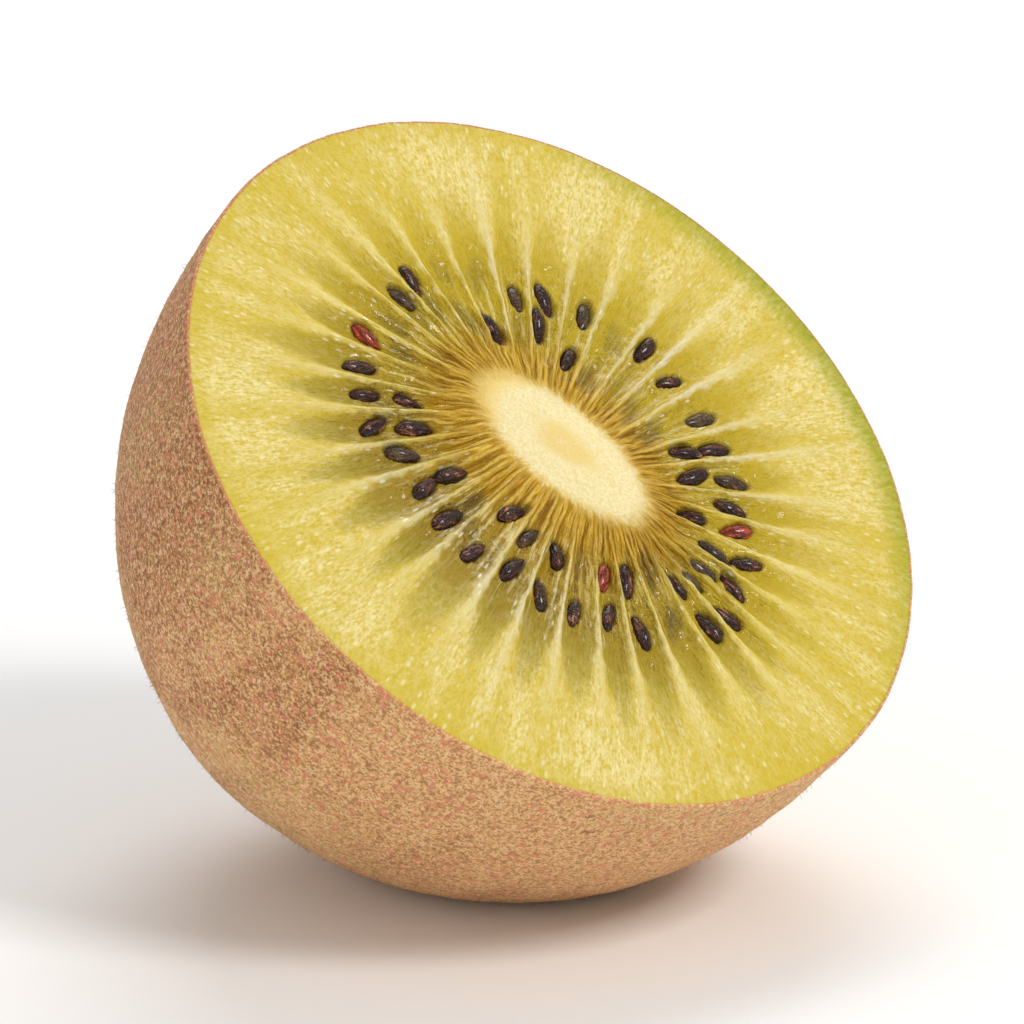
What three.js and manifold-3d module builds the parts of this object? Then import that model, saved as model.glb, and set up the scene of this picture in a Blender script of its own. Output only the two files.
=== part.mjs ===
// Half of a golden kiwi fruit, cut across its middle and lying on its rounded skin.
//
// The fruit's own frame has the cut face in the XY plane, looking along +Z, with the oval's long
// axis along X and the blossom end at -Z. The fruit is then laid down: +Z is up, the cut face looks
// up and towards -Y, and the origin is the middle of the small flat spot that the fruit rests on.
// Lengths are in millimetres and angles in degrees.
import * as THREE from "three";
import { mergeVertices } from "three/addons/utils/BufferGeometryUtils.js";
import Module from "manifold-3d";

// Driving dimensions of the outside
const LONG_RADIUS = 27;
const SHORT_RADIUS = 25.5;
const DEPTH = 34.5; // from the cut to the blossom end, without its nub
const FULLNESS = 2.5; // 2 is a plain ellipsoid, more is a fuller barrel
const NUB = { rise: 1.1, radius: 2.8 };
const DIMPLE = { depth: 0.35, radius: 5.2, width: 3 }; // the shallow ring around the nub
const SWELL = { height: 0.3, turns: 3, phase: 0.8 }; // the slow unevenness of a grown skin
const RIM_ROUND = 0.35; // the knife leaves the skin's edge a little soft

// How the fruit lies
const TILT = 45; // the cut face leans this far from level
const ROLL = -62; // the oval's long axis, turned from level about the fruit's axis
const REST_CUT = 1.4; // how far the soft side is flattened where it lies

// The cut face
const CORE = { long: 7.5, short: 3.7, rise: 0.6, aside: 0.8 }; // aside moves it along the short axis
const LOCULES = 34; // the seed chambers around the core
const LOCULE = { depth: 0.5, start: 0.02, full: 0.12, fade: 0.5, end: 0.8 }; // shares of a spoke
const WALL_JITTER = 0.3; // how unevenly the chamber walls are spaced, as a share of a chamber
const SEED = { length: 2.5, width: 1.4, height: 1.2, proud: 0.4 };
const SEED_ROWS = [
  { at: 0.2, spread: 0.08, share: 0.55, thinner: 0.3 },
  { at: 0.36, spread: 0.05, share: 0.82, thinner: 0.1 },
];
const SEED_TWIST = 25; // the most that a seed turns away from its spoke
const RANDOM_START = 29826;

// How finely the surface is faceted
const STEPS_PER_LOCULE = 4;
const CORE_RINGS = [0, 0.5, 0.85];
const FACE_RINGS = [0, 0.06, 0.14, 0.24, 0.34, 0.44, 0.56, 0.68, 0.8, 0.92];
const SKIN_RINGS = [0, 0.08, 0.16, 0.25, 0.34, 0.44, 0.54, 0.64, 0.74, 0.82, 0.88, 0.925, 0.955, 0.98, 1];

const COLOURS = {
  skin: new THREE.Color(0xa98356),
  flesh: new THREE.Color(0xd6c04f),
  core: new THREE.Color(0xf4e6b0),
  seed: new THREE.Color(0x2c1a1e),
};

const radians = THREE.MathUtils.degToRad;
const lerp = THREE.MathUtils.lerp;
const smoothstep = THREE.MathUtils.smoothstep;

// A small repeatable source of random numbers between 0 and 1
function makeDraw(start) {
  let state = start;
  return () => {
    state = (state * 16807) % 2147483647;
    return state / 2147483647;
  };
}
const draw = makeDraw(RANDOM_START);

// The turn of each chamber wall about the core, with the first repeated a full turn on
const walls = [];
for (let k = 0; k < LOCULES; k++) {
  walls.push(((k + (draw() - 0.5) * WALL_JITTER) * 2 * Math.PI) / LOCULES);
}
walls.push(walls[0] + 2 * Math.PI);

// A point of the cut plane on the spoke at that turn: share 0 is the core's edge, 1 the skin
function spokePoint(turn, share) {
  return new THREE.Vector3(
    lerp(CORE.long, LONG_RADIUS, share) * Math.cos(turn),
    lerp(CORE.aside + CORE.short * Math.sin(turn), SHORT_RADIUS * Math.sin(turn), share),
    0,
  );
}

// The chambers are hollowed between their walls; across goes from 0 to 1 between two walls
function loculeHeight(share, across) {
  const deepening = smoothstep(share, LOCULE.start, LOCULE.full);
  const fading = smoothstep(share, LOCULE.fade, LOCULE.end);
  return -LOCULE.depth * deepening * (1 - fading) * Math.sin(Math.PI * across);
}

function corePoint(turn, share) {
  return new THREE.Vector3(
    CORE.long * share * Math.cos(turn),
    CORE.aside + CORE.short * share * Math.sin(turn),
    CORE.rise * (1 - share * share),
  );
}

function facePoint(turn, share, across) {
  const p = spokePoint(turn, share);
  p.z = loculeHeight(share, across);
  return p;
}

// The skin from the rim, share 0, to the blossom end, share 1
function skinPoint(turn, share) {
  const angle = (share * Math.PI) / 2;
  const depth = DEPTH * Math.sin(angle) ** (2 / FULLNESS);
  const girth = Math.sqrt(Math.max(0, 1 - (depth / DEPTH) ** FULLNESS));
  const swell = SWELL.height * Math.sin(SWELL.turns * turn + SWELL.phase) * Math.sin(Math.PI * share);
  const p = new THREE.Vector3(
    (LONG_RADIUS * girth + swell) * Math.cos(turn),
    (SHORT_RADIUS * girth + swell) * Math.sin(turn),
    -depth,
  );
  const out = Math.hypot(p.x, p.y);
  const nub = NUB.rise * Math.exp(-((out / NUB.radius) ** 2));
  const dimple = DIMPLE.depth * Math.exp(-(((out - DIMPLE.radius) / DIMPLE.width) ** 2));
  if (share > 0.5) p.z += dimple - nub;
  return p;
}

// The rings of the surface, from the blossom end up the skin and over the rim to the core's middle
const rings = [];
for (const share of [...SKIN_RINGS].reverse()) {
  rings.push((turn) => (share > 0 ? skinPoint(turn, share) : skinPoint(turn, 0).setZ(-RIM_ROUND)));
}
rings.push((turn) => spokePoint(turn, 1 - RIM_ROUND / SHORT_RADIUS));
for (const share of [...FACE_RINGS].reverse()) {
  rings.push((turn, across) => facePoint(turn, share, across));
}
for (const share of [...CORE_RINGS].reverse()) {
  rings.push((turn) => corePoint(turn, share));
}

// A lathed body whose every vertex is then set by its ring's formula
function bodyGeometry() {
  const profile = rings.map((ring, i) => {
    const atEnd = i === 0 || i === rings.length - 1;
    return new THREE.Vector2(atEnd ? 0 : 1, i);
  });
  const segments = LOCULES * STEPS_PER_LOCULE;
  const geometry = new THREE.LatheGeometry(profile, segments);
  const position = geometry.getAttribute("position");
  for (let i = 0; i <= segments; i++) {
    const locule = Math.floor(i / STEPS_PER_LOCULE) % LOCULES;
    const across = (i % STEPS_PER_LOCULE) / STEPS_PER_LOCULE;
    const turn = lerp(walls[locule], walls[locule + 1], across);
    rings.forEach((ring, j) => {
      const p = ring(turn, across);
      position.setXYZ(i * rings.length + j, p.x, p.y, p.z);
    });
  }
  return geometry;
}

// Each chamber may hold one seed of each row, pointing along its spoke. The inner row thins out
// towards the core's two tips, where the chambers are narrow.
function seedPlaces() {
  const places = [];
  for (let k = 0; k < LOCULES; k++) {
    for (const row of SEED_ROWS) {
      const [chance, along, aside, twist, size] = Array.from({ length: 5 }, draw);
      const turn = lerp(walls[k], walls[k + 1], 0.5 + (aside - 0.5) * 0.3);
      const thinning = lerp(1 - row.thinner, 1, Math.abs(Math.sin(turn)));
      if (chance > row.share * thinning) continue;
      const share = row.at + (along - 0.5) * 2 * row.spread;
      const spoke = spokePoint(turn, 1).sub(spokePoint(turn, 0));
      places.push({
        middle: facePoint(turn, share, 0.5),
        heading: Math.atan2(spoke.y, spoke.x) + radians((twist - 0.5) * 2 * SEED_TWIST),
        scale: lerp(0.85, 1.12, size),
      });
    }
  }
  return places;
}

function seedMatrix({ middle, heading, scale }) {
  const sunk = SEED.proud - SEED.height / 2;
  return new THREE.Matrix4()
    .makeTranslation(middle.x, middle.y, middle.z + sunk)
    .multiply(new THREE.Matrix4().makeRotationZ(heading - Math.PI / 2))
    .multiply(
      new THREE.Matrix4().makeScale(
        (SEED.width * scale) / 2,
        (SEED.length * scale) / 2,
        (SEED.height * scale) / 2,
      ),
    );
}

// The point of the skin that faces straight down once the fruit is laid, in the fruit's own frame
function restPoint(down) {
  const reach = Math.hypot(LONG_RADIUS * down.x, SHORT_RADIUS * down.y);
  const turn = Math.atan2(SHORT_RADIUS * down.y, LONG_RADIUS * down.x);
  let low = 0;
  let high = 1;
  for (let i = 0; i < 50; i++) {
    const share = (low + high) / 2;
    const slope = (reach * FULLNESS * share ** (FULLNESS - 1)) / (2 * Math.sqrt(1 - share ** FULLNESS));
    if (slope < -down.z * DEPTH) low = share;
    else high = share;
  }
  const girth = Math.sqrt(1 - low ** FULLNESS);
  return new THREE.Vector3(
    LONG_RADIUS * girth * Math.cos(turn),
    SHORT_RADIUS * girth * Math.sin(turn),
    -DEPTH * low,
  );
}

// Turns the fruit from its own frame to the way it lies, with the rest spot's middle at the origin
function layingMatrix() {
  const normal = new THREE.Vector3(0, -Math.sin(radians(TILT)), Math.cos(radians(TILT)));
  const level = new THREE.Vector3(1, 0, 0);
  const uphill = new THREE.Vector3().crossVectors(normal, level);
  const longAxis = level
    .clone()
    .multiplyScalar(Math.cos(radians(ROLL)))
    .addScaledVector(uphill, Math.sin(radians(ROLL)));
  const shortAxis = new THREE.Vector3().crossVectors(normal, longAxis);
  const turned = new THREE.Matrix4().makeBasis(longAxis, shortAxis, normal);
  const down = new THREE.Vector3(0, 0, -1).transformDirection(turned.clone().transpose());
  const low = restPoint(down).applyMatrix4(turned);
  return new THREE.Matrix4().makeTranslation(-low.x, -low.y, -low.z - REST_CUT).multiply(turned);
}

const wasm = await Module();
wasm.setup();

// A closed three.js geometry as a manifold-3d solid
function solidOf(geometry) {
  const bare = geometry.clone();
  bare.deleteAttribute("normal");
  bare.deleteAttribute("uv");
  const merged = mergeVertices(bare, 1e-4);
  return new wasm.Manifold(
    new wasm.Mesh({
      numProp: 3,
      vertProperties: new Float32Array(merged.getAttribute("position").array),
      triVerts: new Uint32Array(merged.index.array),
    }),
  );
}

// A manifold-3d solid as a geometry with flat faces, each coloured for the tissue it belongs to
function colouredGeometry(solid, colourAt) {
  const mesh = solid.getMesh();
  const indexed = new THREE.BufferGeometry()
    .setAttribute("position", new THREE.BufferAttribute(new Float32Array(mesh.vertProperties), 3))
    .setIndex(new THREE.BufferAttribute(new Uint32Array(mesh.triVerts), 1));
  const geometry = indexed.toNonIndexed();
  geometry.computeVertexNormals();
  const position = geometry.getAttribute("position");
  const colours = new Float32Array(position.count * 3);
  const corner = new THREE.Vector3();
  for (let i = 0; i < position.count; i += 3) {
    const middle = new THREE.Vector3();
    for (let k = 0; k < 3; k++) {
      middle.add(corner.fromBufferAttribute(position, i + k));
    }
    const colour = colourAt(middle.divideScalar(3));
    for (let k = 0; k < 3; k++) colour.toArray(colours, (i + k) * 3);
  }
  return geometry.setAttribute("color", new THREE.BufferAttribute(colours, 3));
}

const laying = layingMatrix();
const seeds = seedPlaces().map(seedMatrix);

// The tissue at a point of the finished surface
function tissueColour(point) {
  const p = point.clone().applyMatrix4(laying.clone().invert());
  for (const seed of seeds) {
    if (p.clone().applyMatrix4(seed.clone().invert()).length() < 1.02) return COLOURS.seed;
  }
  if (p.z < -LOCULE.depth) return COLOURS.skin;
  const inCore = Math.hypot(p.x / CORE.long, (p.y - CORE.aside) / CORE.short) < 1;
  return inCore ? COLOURS.core : COLOURS.flesh;
}

function kiwiHalf() {
  let solid = solidOf(bodyGeometry().applyMatrix4(laying));
  for (const seed of seeds) {
    const bead = new THREE.SphereGeometry(1, 6, 4).applyMatrix4(laying.clone().multiply(seed));
    solid = solid.add(solidOf(bead));
  }
  const floorSize = 4 * LONG_RADIUS;
  const floor = new THREE.BoxGeometry(floorSize, floorSize, floorSize).translate(0, 0, -floorSize / 2);
  solid = solid.subtract(solidOf(floor));
  const material = new THREE.MeshStandardMaterial({ vertexColors: true, roughness: 0.6, metalness: 0 });
  const mesh = new THREE.Mesh(colouredGeometry(solid, tissueColour), material);
  mesh.name = "kiwi_half";
  return mesh;
}

const kiwi = new THREE.Group();
kiwi.add(kiwiHalf());

export default kiwi;
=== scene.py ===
"""Half of a golden kiwi fruit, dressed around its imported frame.

The fruit's own frame has the cut face in the XY plane, looking along +Z, with the oval's long axis
along X and the blossom end at -Z. Every piece is shaped there in millimetres, and lay_down() then
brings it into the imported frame, in metres, with the middle of the flat rest spot at the origin.
"""

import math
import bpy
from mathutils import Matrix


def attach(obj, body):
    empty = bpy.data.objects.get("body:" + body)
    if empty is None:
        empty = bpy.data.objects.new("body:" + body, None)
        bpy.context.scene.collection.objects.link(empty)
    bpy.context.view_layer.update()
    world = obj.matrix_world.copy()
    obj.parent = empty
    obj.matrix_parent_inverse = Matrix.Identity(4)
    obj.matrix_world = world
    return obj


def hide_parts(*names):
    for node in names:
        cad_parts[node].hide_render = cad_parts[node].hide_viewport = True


bl_info = {
    "name": "Golden Kiwi Half",
    "version": (1, 0, 0),
    "blender": (4, 5, 0),
    "location": "View3D > Sidebar > Kiwi",
    "description": "Half of a golden kiwi fruit with its flesh, seeds, skin, down and flower remains",
    "category": "Add Mesh",
}

from collections import namedtuple
from functools import partialmethod

import bpy
import numpy as np
from bpy.props import FloatProperty, FloatVectorProperty, IntProperty, PointerProperty
from mathutils import Matrix, Vector, noise

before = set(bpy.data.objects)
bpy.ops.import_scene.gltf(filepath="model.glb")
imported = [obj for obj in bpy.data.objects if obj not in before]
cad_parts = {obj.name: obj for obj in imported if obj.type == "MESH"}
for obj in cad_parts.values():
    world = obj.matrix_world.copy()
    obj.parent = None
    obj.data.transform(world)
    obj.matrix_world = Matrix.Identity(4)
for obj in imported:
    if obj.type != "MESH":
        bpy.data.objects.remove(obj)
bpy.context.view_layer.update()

MM = 0.001
NODE = "kiwi_half"

# How finely the pieces are faceted
CHAMBER_STEPS = 16
CORE_ROWS = 16
FACE_ROWS = 138
UNDER_ROWS = 10
SKIN_ROWS = 150
RIM_ROWS = 5
INNER_ROWS = 9

# The rows that the seeds stand in, as shares of a spoke from the core's edge to the skin
SeedRow = namedtuple("SeedRow", "at spread share thinner")
SEED_ROWS = (SeedRow(0.2, 0.08, 0.55, 0.3), SeedRow(0.36, 0.05, 0.82, 0.1))
SEED_TWIST = math.radians(25)
SEED_GAP = 2.3
Seed = namedtuple("Seed", "x y z heading scale buried tone")

NUB_RISE, NUB_RADIUS = 1.1, 2.8
DIMPLE_DEPTH, DIMPLE_RADIUS, DIMPLE_WIDTH = 0.35, 5.2, 3.0
SWELL_HEIGHT, SWELL_TURNS, SWELL_PHASE = 0.3, 3, 0.8
HOLLOW_DEPTH, HOLLOW_RADIUS = 0.5, 1.1
WRINKLES, WRINKLE_HEIGHT, WRINKLE_RADIUS, WRINKLE_WIDTH = 17, 0.12, 3.0, 1.5
PRESS_SOFTNESS = 0.2
MERGE_DISTANCE = 1e-4

# Relief of the cut face
RIDGE_HEIGHT, RIDGE_WIDTH = 0.12, 0.16
BED_DEPTH, BED_LIP = 0.4, 0.08

# Every so many seeds one is red, which its tone tells the material
RED_EVERY, RED_FIRST, RED_TONE = 17, 5, 2.0

HAIR_START, HAIR_SINK, HAIR_CLEARANCE = 5, 0.1, 0.15
STRAND_START, STRAND_COUNT = 77, 4
STRAND_LIFTS, STRAND_TAPER = (0.3, 0.05, 0.0), (1.0, 0.75, 0.35)

# Lights stand that many metres to the right of the fruit, above it and on the camera's side of it
Light = namedtuple("Light", "name right up near size power colour")
LIGHTS = (
    Light("key", 0.5, 0.6, 0.35, 0.22, 3.6, (1, 0.985, 0.96)),
    Light("fill", -0.6, 0.25, 0.5, 0.6, 1.0, (0.97, 0.98, 1)),
    Light("back", 0.0, 0.6, -0.5, 0.5, 2.8, (1, 1, 1)),
)
WORLD_STRENGTH = 0.45
AIM_LEFT, AIM_BELOW = 2.98, 3.78


# Settings


def length_setting(name, description, millimetres):
    return FloatProperty(name=name, description=description, default=millimetres * MM, unit="LENGTH")


def angle_setting(name, description, degrees):
    return FloatProperty(
        name=name, description=description, default=math.radians(degrees), subtype="ANGLE"
    )


def colour_setting(name, description, default):
    """A colour in the settings, in linear light."""
    return FloatVectorProperty(
        name=name, description=description, default=default, size=3, min=0, max=1, subtype="COLOR"
    )


class KiwiShape(bpy.types.PropertyGroup):
    """The sizes of the half and the way it lies."""

    long_radius: length_setting("Long radius", "Half the cut face's long width", 27)
    short_radius: length_setting("Short radius", "Half the cut face's short width", 25.5)
    depth: length_setting("Depth", "From the cut to the blossom end", 34.5)
    fullness: FloatProperty(
        name="Fullness", description="2 is a plain ellipsoid, more is a fuller barrel", default=2.5
    )
    skin_thickness: length_setting("Skin thickness", "Thickness of the skin at the cut", 0.18)
    core_long: length_setting("Core length", "Half the core's long width", 7.5)
    core_short: length_setting("Core width", "Half the core's short width", 3.7)
    core_aside: length_setting("Core offset", "How far the core lies off the middle", 0.8)
    core_rise: length_setting("Core rise", "How far the core stands proud", 0.4)
    chambers: IntProperty(name="Seed chambers", description="Chambers round the core", default=34, min=8)
    chamber_depth: length_setting("Chamber depth", "How far the cut chambers sink", 0.5)
    wall_jitter: FloatProperty(
        name="Wall unevenness", description="How unevenly the walls are spaced", default=0.3,
        subtype="FACTOR"
    )
    seed_length: length_setting("Seed length", "Length of a middling seed", 2.6)
    seed_width: length_setting("Seed width", "Width of a middling seed", 1.12)
    seed_height: length_setting("Seed height", "Thickness of a middling seed", 1.1)
    seed_proud: length_setting("Seed rise", "How far a seed stands out of its gel", 0.4)
    hair_length: length_setting("Down length", "Length of the skin's longest down", 0.65)
    hair_count: IntProperty(name="Down count", description="Hairs, less those by the floor", default=9000)
    random_start: IntProperty(name="Random start", description="Start of the seeds' draws", default=29826)
    tilt: angle_setting("Tilt", "Lean of the cut face from level", 45)
    roll: angle_setting("Roll", "Turn about the fruit's axis", -62)
    rest_cut: length_setting("Flattening", "How far the soft side is pressed flat", 1.4)


class KiwiColours(bpy.types.PropertyGroup):
    """The colours of the half's tissues."""

    flesh: colour_setting("Flesh", "Deep yellow of the outer flesh", (0.655, 0.485, 0.025))
    flesh_pale: colour_setting("Pale flesh", "Pale strokes in the outer flesh", (0.87, 0.73, 0.31))
    juice: colour_setting("Juice cells", "Bright cells of the outer flesh", (0.95, 0.86, 0.52))
    flame: colour_setting("Chamber tips", "Olive yellow of the chamber ends", (0.56, 0.40, 0.008))
    # Painted shade: the lower chambers' tips are darkened for the shade in their deeper hollows
    flame_shade: colour_setting("Lower tips", "Darker olive of the lower chambers", (0.36, 0.27, 0.010))
    gel: colour_setting("Gel", "Wet gel in the seed chambers", (0.38, 0.245, 0.010))
    # Painted shade in the deepest hollows of the gel
    gel_shade: colour_setting("Dark gel", "The deepest spots of the gel", (0.09, 0.052, 0.006))
    gold: colour_setting("Gold", "Fibres just outside the core", (0.56, 0.28, 0.002))
    gold_dark: colour_setting("Dark gold", "Gaps between the golden fibres", (0.22, 0.09, 0.002))
    thread: colour_setting("Threads", "Fine golden fibres near the core", (0.83, 0.57, 0.09))
    wall: colour_setting("Walls", "Walls between the chambers", (0.86, 0.71, 0.22))
    wall_wet: colour_setting("Wet walls", "Paler walls above and below the core", (0.77, 0.69, 0.44))
    # Painted highlight: the pale colour of the glints along the walls
    bead: colour_setting("Juice beads", "Wet beads along the walls", (0.90, 0.86, 0.62))
    green: colour_setting("Green", "Greener flesh under the skin", (0.32, 0.36, 0.014))
    core: colour_setting("Core", "The pale core", (0.92, 0.81, 0.465))
    core_edge: colour_setting("Core edge", "Where the core frays into gold", (0.87, 0.59, 0.12))
    core_eye: colour_setting("Core eye", "The darker oval in the core", (0.85, 0.63, 0.21))
    skin: colour_setting("Skin", "The skin between its flecks", (0.90, 0.505, 0.195))
    skin_pale: colour_setting("Pale skin", "The palest skin between the flecks", (0.97, 0.70, 0.38))
    # The skin's own darker mottling, and painted shade on one side
    skin_dark_and_shade: colour_setting("Darker skin", "The skin's darker side", (0.62, 0.285, 0.082))
    skin_fleck: colour_setting("Skin flecks", "Fine reddish flecks on the skin", (0.25, 0.080, 0.042))
    skin_nub: colour_setting("Blossom end", "Smooth paler skin round the nub", (0.80, 0.50, 0.20))
    skin_recess: colour_setting("Recess", "Brown hollow in the nub", (0.22, 0.085, 0.025))
    skin_spot: colour_setting("Skin spots", "Sparse dark spots on the skin", (0.15, 0.055, 0.018))
    skin_dot: colour_setting("Skin dots", "Pinkish corky dots on the skin", (0.80, 0.25, 0.15))
    skin_olive: colour_setting("Skin olive", "Faint green patches on the skin", (0.74, 0.50, 0.17))
    seed: colour_setting("Seed", "Purple-black seed coat", (0.020, 0.006, 0.005))
    seed_brown: colour_setting("Brown seed", "Brown parts of the seed coat", (0.17, 0.040, 0.024))
    # Painted highlights on the crests of the seed coat's wrinkles
    seed_ridge_highlight: colour_setting("Tan ridges", "Worn ridges of the seed coat", (0.50, 0.24, 0.14))
    seed_red: colour_setting("Red seed", "Unripe reddish seed coat", (0.50, 0.075, 0.03))
    seed_red_dark: colour_setting("Dark red seed", "Wrinkles of a red seed", (0.12, 0.012, 0.012))
    # Seeds seen through the gel, and painted shade round the beds of the shown seeds
    seed_through_gel_and_shade: colour_setting("Seed shadow", "Seeds that show through the gel", (0.060, 0.036, 0.012))
    veil: colour_setting("Veil", "Gel over the seeds that lie deeper", (0.17, 0.115, 0.05))
    remains: colour_setting("Flower remains", "Dried style strands", (0.07, 0.035, 0.02))
    remains_pale: colour_setting("Pale remains", "Paler parts of the strands", (0.22, 0.13, 0.07))
    down: colour_setting("Down", "Fine hairs on the skin", (0.70, 0.46, 0.24))


class KiwiStage(bpy.types.PropertyGroup):
    """The camera and the floor."""

    azimuth: angle_setting("Azimuth", "The way the camera looks, from +Y", -39.4)
    elevation: angle_setting("Elevation", "The camera's height over level", 16)
    distance: length_setting("Distance", "From the camera to the fruit", 400)
    lens: FloatProperty(
        name="Lens", description="Focal length in millimetres", default=215, unit="CAMERA"
    )
    floor_colour: colour_setting("Floor", "The pale floor", (0.93, 0.93, 0.925))


# Shaping functions, all on numpy arrays


def lerp(a, b, share):
    return a + (b - a) * share


def smoothstep(value, low, high):
    t = np.clip((value - low) / (high - low), 0, 1)
    return t * t * (3 - 2 * t)


def on_plane(x, y):
    return np.stack([x, y, np.zeros_like(x)], axis=1)


def cloud(points, size, octaves=2):
    """Smooth noise at each point, about -1 to 1, with lumps of that size."""
    scaled = np.asarray(points) / size
    return np.array([noise.fractal(Vector(p), 1.0, 2.0, octaves) for p in scaled])


def make_draw(start):
    """A small repeatable source of random numbers between 0 and 1."""
    state = start

    def draw():
        nonlocal state
        state = (state * 16807) % 2147483647
        return state / 2147483647

    return draw


class Fruit:
    """The fruit's formulas in its own frame, in millimetres, and the way it lies."""

    def __init__(self, shape):
        for name in ("long_radius", "short_radius", "depth", "skin_thickness", "core_long", "core_short",
                     "core_aside", "core_rise", "chamber_depth", "seed_length", "seed_width",
                     "seed_height", "seed_proud", "hair_length", "rest_cut"):
            setattr(self, name, getattr(shape, name) / MM)
        self.fullness = shape.fullness
        self.chambers = shape.chambers
        self.tilt = shape.tilt
        self.roll = shape.roll
        draw = make_draw(shape.random_start)
        pitch = 2 * math.pi / self.chambers
        self.walls = [(k + (draw() - 0.5) * shape.wall_jitter) * pitch for k in range(self.chambers)]
        self.walls.append(self.walls[0] + 2 * math.pi)
        self.uneven = np.random.default_rng(shape.random_start).random((self.chambers, 4))
        self.seeds = self.seed_places(draw)
        self.laying = self.laying_matrix()

    def turn_at(self, chamber):
        """The turn about the core at a chamber coordinate: whole numbers are walls."""
        return np.interp(chamber, np.arange(self.chambers + 1), self.walls)

    def spoke_point(self, turn, share):
        """The point of the cut plane on a spoke: share 0 is the core's edge, 1 the skin."""
        x = lerp(self.core_long, self.long_radius, share) * np.cos(turn)
        y = lerp(self.core_aside + self.core_short * np.sin(turn), self.short_radius * np.sin(turn), share)
        return x, y

    def edge_wave(self, turn):
        """How far the cut edge strays from its oval, as a share of its radius."""
        round_edge = on_plane(np.cos(turn), np.sin(turn))
        return 0.003 * cloud(round_edge, 0.3, 2) + 0.0012 * cloud(round_edge, 0.05, 2)

    def core_point(self, turn, share):
        x = self.core_long * share * np.cos(turn)
        y = self.core_aside + self.core_short * share * np.sin(turn)
        return x, y, self.core_rise * (1 - share * share)

    def chamber_height(self, share, across):
        """The plain hollow of a chamber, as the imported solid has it."""
        deepening = smoothstep(share, 0.02, 0.12)
        fading = smoothstep(share, 0.5, 0.8)
        return -self.chamber_depth * deepening * (1 - fading) * np.sin(np.pi * across)

    def skin_point(self, turn, share):
        """The skin from the cut, share 0, to the blossom end, share 1."""
        depth = self.depth * np.sin(share * np.pi / 2) ** (2 / self.fullness)
        girth = np.sqrt(np.maximum(0, 1 - (depth / self.depth) ** self.fullness))
        swell = SWELL_HEIGHT * np.sin(SWELL_TURNS * turn + SWELL_PHASE) * np.sin(np.pi * share)
        x = (self.long_radius * girth + swell) * np.cos(turn)
        y = (self.short_radius * girth + swell) * np.sin(turn)
        out = np.hypot(x, y)
        nub = NUB_RISE * np.exp(-((out / NUB_RADIUS) ** 2))
        dimple = DIMPLE_DEPTH * np.exp(-(((out - DIMPLE_RADIUS) / DIMPLE_WIDTH) ** 2))
        z = -depth + np.where(share > 0.5, dimple - nub, 0)
        return x, y, z

    def seed_places(self, draw):
        """Each chamber may hold one seed of each row; a place left empty may hide a buried one."""
        places = []
        for k in range(self.chambers):
            for row in SEED_ROWS:
                chance, along, aside, twist, size = [draw() for _ in range(5)]
                turn = lerp(self.walls[k], self.walls[k + 1], 0.5 + (aside - 0.5) * 0.3)
                thinning = lerp(1 - row.thinner, 1, abs(math.sin(turn)))
                share = row.at + (along - 0.5) * 2 * row.spread
                x, y = self.spoke_point(turn, share)
                z = float(self.chamber_height(share, 0.5))
                outer, inner = self.spoke_point(turn, 1), self.spoke_point(turn, 0)
                spoke = math.atan2(outer[1] - inner[1], outer[0] - inner[0])
                heading = spoke + (twist - 0.5) * 2 * SEED_TWIST
                buried = chance > row.share * thinning
                places.append(Seed(x, y, z, heading, lerp(0.85, 1.12, size), buried, aside))
        return [self.moved_apart(places[i], places[i ^ 1]) for i in range(len(places))]

    def moved_apart(self, seed, neighbour):
        """Keeps the two seeds of one chamber from growing into each other."""
        dx, dy = seed.x - neighbour.x, seed.y - neighbour.y
        gap = math.hypot(dx, dy)
        if seed.buried or neighbour.buried or gap > SEED_GAP:
            return seed
        push = (SEED_GAP - gap) / 2 / gap
        return seed._replace(x=seed.x + dx * push, y=seed.y + dy * push)

    def rest_point(self, down):
        """The point of the smooth skin that faces that way."""
        reach = math.hypot(self.long_radius * down.x, self.short_radius * down.y)
        turn = math.atan2(self.short_radius * down.y, self.long_radius * down.x)
        low, high = 0.0, 1.0
        for _ in range(50):
            share = (low + high) / 2
            rising = reach * self.fullness * share ** (self.fullness - 1)
            if rising / (2 * math.sqrt(1 - share**self.fullness)) < -down.z * self.depth:
                low = share
            else:
                high = share
        girth = math.sqrt(1 - low**self.fullness)
        x = self.long_radius * girth * math.cos(turn)
        y = self.short_radius * girth * math.sin(turn)
        return Vector((x, y, -self.depth * low))

    def laying_matrix(self):
        """From the fruit's own frame to the way it lies, still in millimetres."""
        normal = Vector((0, -math.sin(self.tilt), math.cos(self.tilt)))
        level = Vector((1, 0, 0))
        uphill = normal.cross(level)
        long_axis = math.cos(self.roll) * level + math.sin(self.roll) * uphill
        short_axis = normal.cross(long_axis)
        turned = Matrix((long_axis, short_axis, normal)).transposed()
        low = turned @ self.rest_point(turned.transposed() @ Vector((0, 0, -1)))
        drop = Vector((-low.x, -low.y, -low.z - self.rest_cut))
        return Matrix.Translation(drop) @ turned.to_4x4()


# Mesh helpers


def deselect_all():
    if bpy.context.mode != "OBJECT":
        bpy.ops.object.mode_set(mode="OBJECT")
    bpy.ops.object.select_all(action="DESELECT")


def points_of(mesh):
    flat = np.empty(len(mesh.vertices) * 3)
    mesh.vertices.foreach_get("co", flat)
    return flat.reshape(-1, 3)


def set_points(mesh, points):
    mesh.vertices.foreach_set("co", np.asarray(points, dtype=np.float32).ravel())
    mesh.update()


def normals_of(mesh):
    flat = np.empty(len(mesh.vertices) * 3)
    mesh.vertices.foreach_get("normal", flat)
    return flat.reshape(-1, 3)


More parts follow.
